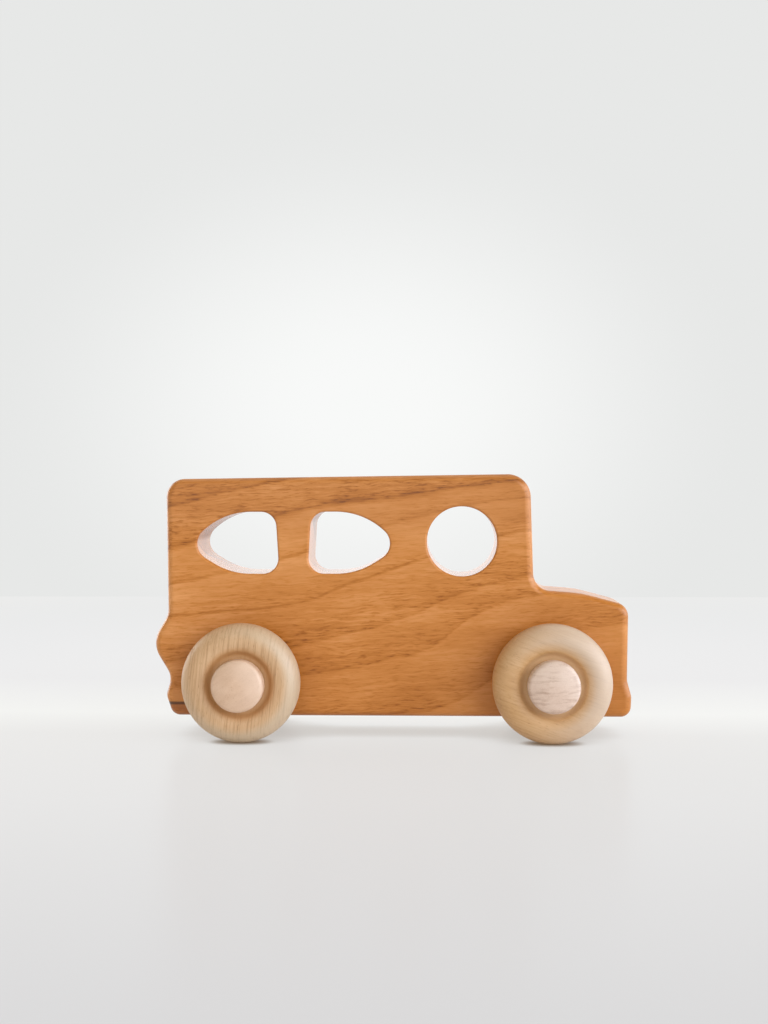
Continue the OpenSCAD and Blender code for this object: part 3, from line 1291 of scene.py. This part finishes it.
@dataclass
class Peg(Turning):
    """A mushroom-headed axle peg, in millimetres.

    Attributes:
        shank_radius: Radius of the shank.
        chamfer: Size of the chamfer at its foot.
        under_ease: Size of the eased edges under the head.
        rim_radius: Radius of the head's rim.
        rim_y: Height of that radius's centre above the head's underside.
        dome_radius: Radius of the head's dome.
        arc_steps: Steps in the rim's arc, and in the dome's.
        least_polish: Polish at the middle of the dome and of the foot.
    """

    shank_radius: float = 4.35
    chamfer: float = 0.8
    under_ease: float = 0.3
    rim_radius: float = 1.7
    rim_y: float = 3.55
    dome_radius: float = 22.0
    arc_steps: int = 12
    least_polish: float = 0.1

    def build(self) -> bpy.types.Object:
        """Builds the peg's mesh.

        Returns:
            The peg, riding on the car.
        """
        node = f"peg_{self.where}"
        low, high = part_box(node)
        axle = (low + high) / 2
        head = (high.z - low.z) / 2 / MM
        inner, outer = sorted((abs(low.y) / MM, abs(high.y) / MM))
        rim_x = head - self.rim_radius
        drop = math.sqrt((self.dome_radius - self.rim_radius) ** 2 - rim_x**2)
        top = self.rim_y - drop + self.dome_radius
        base = outer - top
        skin = Skin()
        rings = self.lathe(skin, self._profile(head, drop, inner - base), axle, base)
        for first, second in zip(rings[:-1], rings[1:]):
            skin.bridge(first, second)
        for ring, height, facing in ((rings[0], inner, -1), (rings[-1], outer, 1)):
            place = Vector((axle.x, self.side.value * height * MM, axle.z))
            normal = Vector((0, facing * self.side.value, 0))
            tip = skin.ring([place], [normal], [self.least_polish])[0]
            skin.fan(ring, tip)
        made = self.cut(skin, f"birch_{node}", axle)
        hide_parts(node)
        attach(made, "car")
        return made

    def polish_and_painted_light(self, spot: Spot, angle: float) -> float:
        """The painted sheen of the head's dome, most on one side, over a little even polish; the sides and
        the shank have none.

        Args:
            spot: A spot of the peg's profile.
            angle: Where it is round the axle, in radians from +X towards +Z.

        Returns:
            The polish and painted sheen, from 0 to 1.
        """
        if spot.place.y <= self.rim_y:
            return 0.0
        out = min(1.0, spot.place.x / self.shank_radius)
        # Painted sheen on one side of the dome, over a little even polish.
        return self.least_polish + (1 - self.least_polish) * self.painted_sheen_side(angle) * out

    def in_blank(self, p: Vector) -> Vector:
        """A point's place in the peg's dowel: along the fibres, across them and through it."""
        return Vector((p.y / MM + self.offset, p.z / MM, p.x / MM))

    def _profile(self, head: float, drop: float, foot: float) -> list[Spot]:
        """The peg's profile.

        Args:
            head: The head's radius.
            drop: How far below the rim's centre the dome's centre is.
            foot: Height of the shank's foot.

        Returns:
            Its spots, from the foot of the shank to the top of the dome.
        """
        down, across, up = Vector((0, -1)), Vector((1, 0)), Vector((0, 1))
        slant = Vector((1, -1)).normalized()
        shank, ease = self.shank_radius, self.under_ease
        spots = [
            Spot(Vector((shank - self.chamfer, foot)), down),
            Spot(Vector((shank - self.chamfer, foot)), slant),
            Spot(Vector((shank, foot + self.chamfer)), slant),
            Spot(Vector((shank, foot + self.chamfer)), across),
            Spot(Vector((shank, -ease)), across),
            Spot(Vector((shank + ease, 0)), down),
            Spot(Vector((head - ease, 0)), down),
            Spot(Vector((head, ease)), across),
        ]
        steps = self.arc_steps
        rim_x = head - self.rim_radius
        rim, dome = Vector((rim_x, self.rim_y)), Vector((0, self.rim_y - drop))
        meet = math.atan2(drop, rim_x)
        rest = math.pi / 2 - meet
        arcs = [(rim, self.rim_radius, meet * k / steps) for k in range(steps + 1)]
        arcs += [(dome, self.dome_radius, meet + rest * k / steps) for k in range(1, steps)]
        for centre, radius, angle in arcs:
            out = math.cos(angle) * across + math.sin(angle) * up
            spots.append(Spot(centre + radius * out, out))
        return spots


@dataclass(frozen=True)
class Lamp:
    """A soft lamp that faces the car.

    Attributes:
        name: The lamp's name.
        azimuth: Its bearing from the car, in degrees from +X towards +Y.
        elevation: Its height above the floor, in degrees.
        distance: How far it stands from the car, in metres.
        width: Its width, in metres.
        height: Its height, in metres.
        power: Its power, in watts.
        colour: The colour of its light.
        aim: Height of the point that it faces, in metres.
    """

    name: str
    azimuth: float
    elevation: float
    distance: float
    width: float
    height: float
    power: float
    colour: Colour = (1.0, 1.0, 1.0)
    aim: float = 0.04

    def build(self) -> None:
        """Hangs the lamp, out of the camera's sight."""
        data = bpy.data.lights.new(self.name, "AREA")
        data.shape = "RECTANGLE"
        data.size = self.width
        data.size_y = self.height
        data.energy = self.power
        data.color = self.colour
        made = bpy.data.objects.new(self.name, data)
        turn, tilt = math.radians(self.azimuth), math.radians(self.elevation)
        out = Vector((math.cos(tilt) * math.cos(turn), math.cos(tilt) * math.sin(turn), math.sin(tilt)))
        made.location = Vector((0, 0, self.aim)) + self.distance * out
        made.rotation_euler = (-out).to_track_quat("-Z", "Y").to_euler()
        made.visible_camera = False
        bpy.context.scene.collection.objects.link(made)


@dataclass
class Studio:
    """A pale floor and backdrop, soft lights and the camera, in metres.

    Attributes:
        image_height: Height of the photograph, in pixels.
        focal_pixels: The camera's focal length, in those pixels.
        eye: Where the camera stands.
        yaw, pitch, roll: How far it is turned left, down and clockwise from level along +Y, in degrees.
        reach: How far the floor and the backdrop reach.
        floor_front, floor_edge: Where the floor's tones start, in front of the car, and where it ends.
        floor_tones_and_painted_light: The floor's colours between the two, darker towards the front, with
            painted light in a pale band under the car.
        floor_fade: How far from the car they pass into the horizon's colour.
        shadow_reach, unlit_share: How near the car it shows most shadow, and its unlit share there.
        bounce: How much light the floor sends back.
        floor_rough, floor_specular: The floor's gloss.
        shade, shade_reach: The colour of the painted shade near a piece, and how near.
        contact_shadow, contact_shadow_reach: The colour of the painted shadow where a piece stands on it,
            and how near.
        backdrop_y, backdrop_foot: Where the backdrop stands, and the height of its foot.
        glow, glow_size: The x and z of its brightest place, and how wide and tall that is.
        glow_tones: The backdrop's colours, from there out.
        horizon, overhead: The world's colours, low and high.
        sky_rise: The sines of the heights where one passes into the other.
        lamps: The lamps.
    """

    image_height: int = 1024
    focal_pixels: float = 1342.0
    eye: tuple[float, float, float] = (0.01661, -0.4456, 0.08194)
    yaw: float = 2.51
    pitch: float = 1.13
    roll: float = 0.15
    reach: float = 5.0
    floor_front: float = -0.3
    floor_edge: float = 0.54
    floor_tones_and_painted_light: Stops = (
        (0.00, tint(208, 208, 210)),
        (0.24, tint(225, 225, 225)),
        (0.35, tint(229, 229, 228)),
        (0.40, tint(240, 241, 239)),
        (0.50, tint(230, 230, 231)),
        (1.00, tint(234, 235, 235)),
    )
    floor_fade: tuple[float, float] = (0.3, 0.7)
    shadow_reach: float = 0.15
    unlit_share: float = 0.82
    bounce: float = 0.92
    floor_rough: float = 0.28
    floor_specular: float = 0.5
    shade: Colour = tint(176, 168, 158)
    shade_reach: float = 0.018
    contact_shadow: Colour = tint(112, 88, 62)
    contact_shadow_reach: float = 0.004
    backdrop_y: float = 1.6
    backdrop_foot: float = -1.0
    glow: tuple[float, float] = (-0.1, 0.2)
    glow_size: tuple[float, float] = (0.55, 0.42)
    glow_tones: Stops = ((0.0, tint(248, 249, 248)), (1.0, tint(231, 232, 231)))
    horizon: Colour = tint(236, 236, 235)
    overhead: Colour = tint(145, 126, 95)
    sky_rise: tuple[float, float] = (0.087, 0.242)
    lamps: tuple[Lamp, ...] = (
        Lamp(
            "side_light", azimuth=0, elevation=15, distance=4.0,
            width=3.6, height=2.55, power=82, colour=(0.92, 1.0, 1.16),
        ),
        Lamp(
            "room_light", azimuth=-40, elevation=20, distance=4.0,
            width=4.0, height=2.55, power=106, colour=(0.98, 1.0, 1.06),
        ),
        Lamp(
            "front_light", azimuth=-115, elevation=28, distance=2.2,
            width=1.4, height=1.4, power=6.8, colour=(1.0, 0.92, 0.8),
        ),
        Lamp("top_light", azimuth=0, elevation=89, distance=2.2, width=1.4, height=1.4, power=5.7),
        Lamp("back_light", azimuth=90, elevation=10, distance=1.4, width=2.6, height=0.9, power=5.5),
        Lamp("rim_light", azimuth=150, elevation=12, distance=1.4, width=0.9, height=0.9, power=8),
    )

    def build(self) -> None:
        """Builds the stage, the lights and the camera."""
        self._camera()
        self._floor()
        self._backdrop()
        self._world()
        for lamp in self.lamps:
            lamp.build()

    def _camera(self) -> None:
        """Stands the camera where the photograph was taken from."""
        data = bpy.data.cameras.new("camera")
        data.sensor_fit = "VERTICAL"
        data.sensor_height = 36.0
        data.lens = self.focal_pixels * data.sensor_height / self.image_height
        data.clip_start = 0.01
        made = bpy.data.objects.new("camera", data)
        yaw, pitch, roll = (math.radians(a) for a in (self.yaw, self.pitch, self.roll))
        right = Vector((math.cos(yaw), math.sin(yaw), 0))
        ahead = Vector((-math.sin(yaw), math.cos(yaw), 0))
        up = Vector((0, 0, 1))
        look = math.cos(pitch) * ahead - math.sin(pitch) * up
        down = -(math.sin(pitch) * ahead + math.cos(pitch) * up)
        rolled_right = math.cos(roll) * right + math.sin(roll) * down
        rolled_down = -math.sin(roll) * right + math.cos(roll) * down
        turn = Matrix((rolled_right, -rolled_down, -look)).transposed()
        made.matrix_world = Matrix.Translation(Vector(self.eye)) @ turn.to_4x4()
        bpy.context.scene.collection.objects.link(made)
        bpy.context.scene.camera = made

    def _sheet(
        self, name: str, corners: Sequence[tuple[float, float, float]], material: bpy.types.Material
    ) -> None:
        """Adds a flat sheet to the stage.

        Args:
            name: The sheet's name.
            corners: Its corners, in order.
            material: What it is made of.
        """
        data = bpy.data.meshes.new(name)
        data.from_pydata(corners, [], [tuple(range(len(corners)))])
        data.materials.append(material)
        made = bpy.data.objects.new(name, data)
        bpy.context.scene.collection.objects.link(made)

    def _floor(self) -> None:
        """A pale, faintly glossy table top, which keeps the car's shadow, with painted shade and painted
        contact shadows near the pieces and painted light in a band under the car.
        """
        g = Graph("white_table")
        x, y, _ = g.place()
        far = g.far(x, y)
        length = self.floor_edge - self.floor_front
        depth = g.math("DIVIDE", g.less(y, self.floor_front), length, clamp=True)
        # Painted light: a pale band in the tones under the car.
        bright = g.blend(g.span(far, *self.floor_fade), g.ramp(depth, self.floor_tones_and_painted_light), self.horizon)
        # Painted shade near each piece and a painted contact shadow where it stands, from how open the
        # space over the floor is.
        near, touch = g.openness(self.shade_reach), g.openness(self.contact_shadow_reach)
        shaded = g.blend(g.span(near, 0.1, 0.6, 0.5, 1.0), self.shade, bright)
        colour = g.blend(g.span(touch, 0.0, 0.7), self.contact_shadow, shaded)
        self._shown(g, colour, g.span(far, self.shadow_reach, self.floor_edge, self.unlit_share, 1.0))
        g.shader.inputs["Base Color"].default_value = (self.bounce, self.bounce, self.bounce, 1.0)
        g.shader.inputs["Roughness"].default_value = self.floor_rough
        g.shader.inputs["Specular IOR Level"].default_value = self.floor_specular
        reach, edge = self.reach, self.floor_edge
        corners = ((-reach, -reach, 0), (reach, -reach, 0), (reach, edge, 0), (-reach, edge, 0))
        self._sheet("floor", corners, g.material)

    def _backdrop(self) -> None:
        """A pale wall, a little brighter behind the car."""
        g = Graph("pale_wall")
        x, _, z = g.place()
        wide = g.over(g.less(x, self.glow[0]), self.glow_size[0])
        tall = g.over(g.less(z, self.glow[1]), self.glow_size[1])
        colour = g.ramp(g.span(g.far(wide, tall), 0.1, 1.1), self.glow_tones)
        g.show(g.make("ShaderNodeEmission", Color=colour).outputs[0])
        y, foot, reach = self.backdrop_y, self.backdrop_foot, self.reach
        corners = ((-reach, y, foot), (reach, y, foot), (reach, y, reach), (-reach, y, reach))
        self._sheet("backdrop", corners, g.material)

    def _shown(self, g: Graph, colour: Socket, share: Socket) -> None:
        """Makes a material show its colour unlit to the camera and in reflections.

        Args:
            g: The material's nodes.
            colour: The colour.
            share: How much of it is unlit, from 0 to 1.
        """
        path = g.nodes.new("ShaderNodeLightPath").outputs
        seen = g.math("MAXIMUM", path["Is Camera Ray"], path["Is Glossy Ray"])
        seen = g.math("MAXIMUM", seen, path["Is Transmission Ray"])
        glow = g.make("ShaderNodeEmission", Color=colour)
        mix = g.nodes.new("ShaderNodeMixShader")
        g.put(mix.inputs[0], g.times(seen, share))
        g.put(mix.inputs[1], g.shader.outputs[0])
        g.put(mix.inputs[2], glow.outputs[0])
        g.show(mix.outputs[0])

    def _world(self) -> None:
        """Even warm light from above, with a pale band along the horizon."""
        world = bpy.data.worlds.new("studio")
        world.use_nodes = True
        nodes, links = world.node_tree.nodes, world.node_tree.links
        rise = nodes.new("ShaderNodeSeparateXYZ")
        links.new(nodes.new("ShaderNodeTexCoord").outputs["Generated"], rise.inputs[0])
        sky = nodes.new("ShaderNodeValToRGB")
        links.new(rise.outputs["Z"], sky.inputs["Fac"])
        low, high = self.sky_rise
        set_stops(sky.color_ramp, ((low, self.horizon), (high, self.overhead)))
        links.new(sky.outputs["Color"], nodes["Background"].inputs["Color"])
        bpy.context.scene.world = world


@dataclass(frozen=True)
class Cut:
    """How a wheel and its peg were cut from their lengths of wood.

    Attributes:
        wheel_fibre: How far the wheel's fibres are turned, in degrees.
        peg_fibre: How far the peg's fibres are turned, in degrees.
        offset: Where in their lengths they were cut, in millimetres.
        painted_sheen_turn: Where round the axle the wheel's side with the painted sheen is, in degrees
            from +X towards +Z.
    """

    wheel_fibre: float
    peg_fibre: float
    offset: float
    painted_sheen_turn: float


CUTS: dict[tuple[End, Side], Cut] = {
    (End.REAR, Side.RIGHT): Cut(wheel_fibre=84, peg_fibre=30, offset=0, painted_sheen_turn=-30),
    (End.FRONT, Side.RIGHT): Cut(wheel_fibre=-20, peg_fibre=2, offset=31, painted_sheen_turn=20),
    (End.REAR, Side.LEFT): Cut(wheel_fibre=40, peg_fibre=75, offset=62, painted_sheen_turn=130),
    (End.FRONT, Side.LEFT): Cut(wheel_fibre=118, peg_fibre=150, offset=93, painted_sheen_turn=200),
}
# How far round from its wheel's painted sheen a peg's painted sheen lies, in degrees.
PEG_PAINTED_SHEEN_LEAD = 55


def main() -> None:
    """Builds the studio and the car's pieces, in order."""
    logging.basicConfig(level=logging.INFO, format="%(message)s")
    bpy.context.scene.view_settings.view_transform = "Standard"
    Studio().build()
    makers: list[Board | Turning] = [Board()]
    for (end, side), cut in CUTS.items():
        # The peg's painted sheen lies a little further round than its wheel's.
        peg_painted_sheen_turn = cut.painted_sheen_turn + PEG_PAINTED_SHEEN_LEAD
        makers.append(Wheel(end, side, MAPLE[end], cut.wheel_fibre, cut.offset, cut.painted_sheen_turn))
        makers.append(Peg(end, side, BIRCH[end], cut.peg_fibre, cut.offset, peg_painted_sheen_turn))
    for maker in makers:
        piece = maker.build()
        maker.dress(piece)
        LOG.info("built %s, %d faces", piece.name, len(piece.data.polygons))


if __name__ == "__main__":
    main()
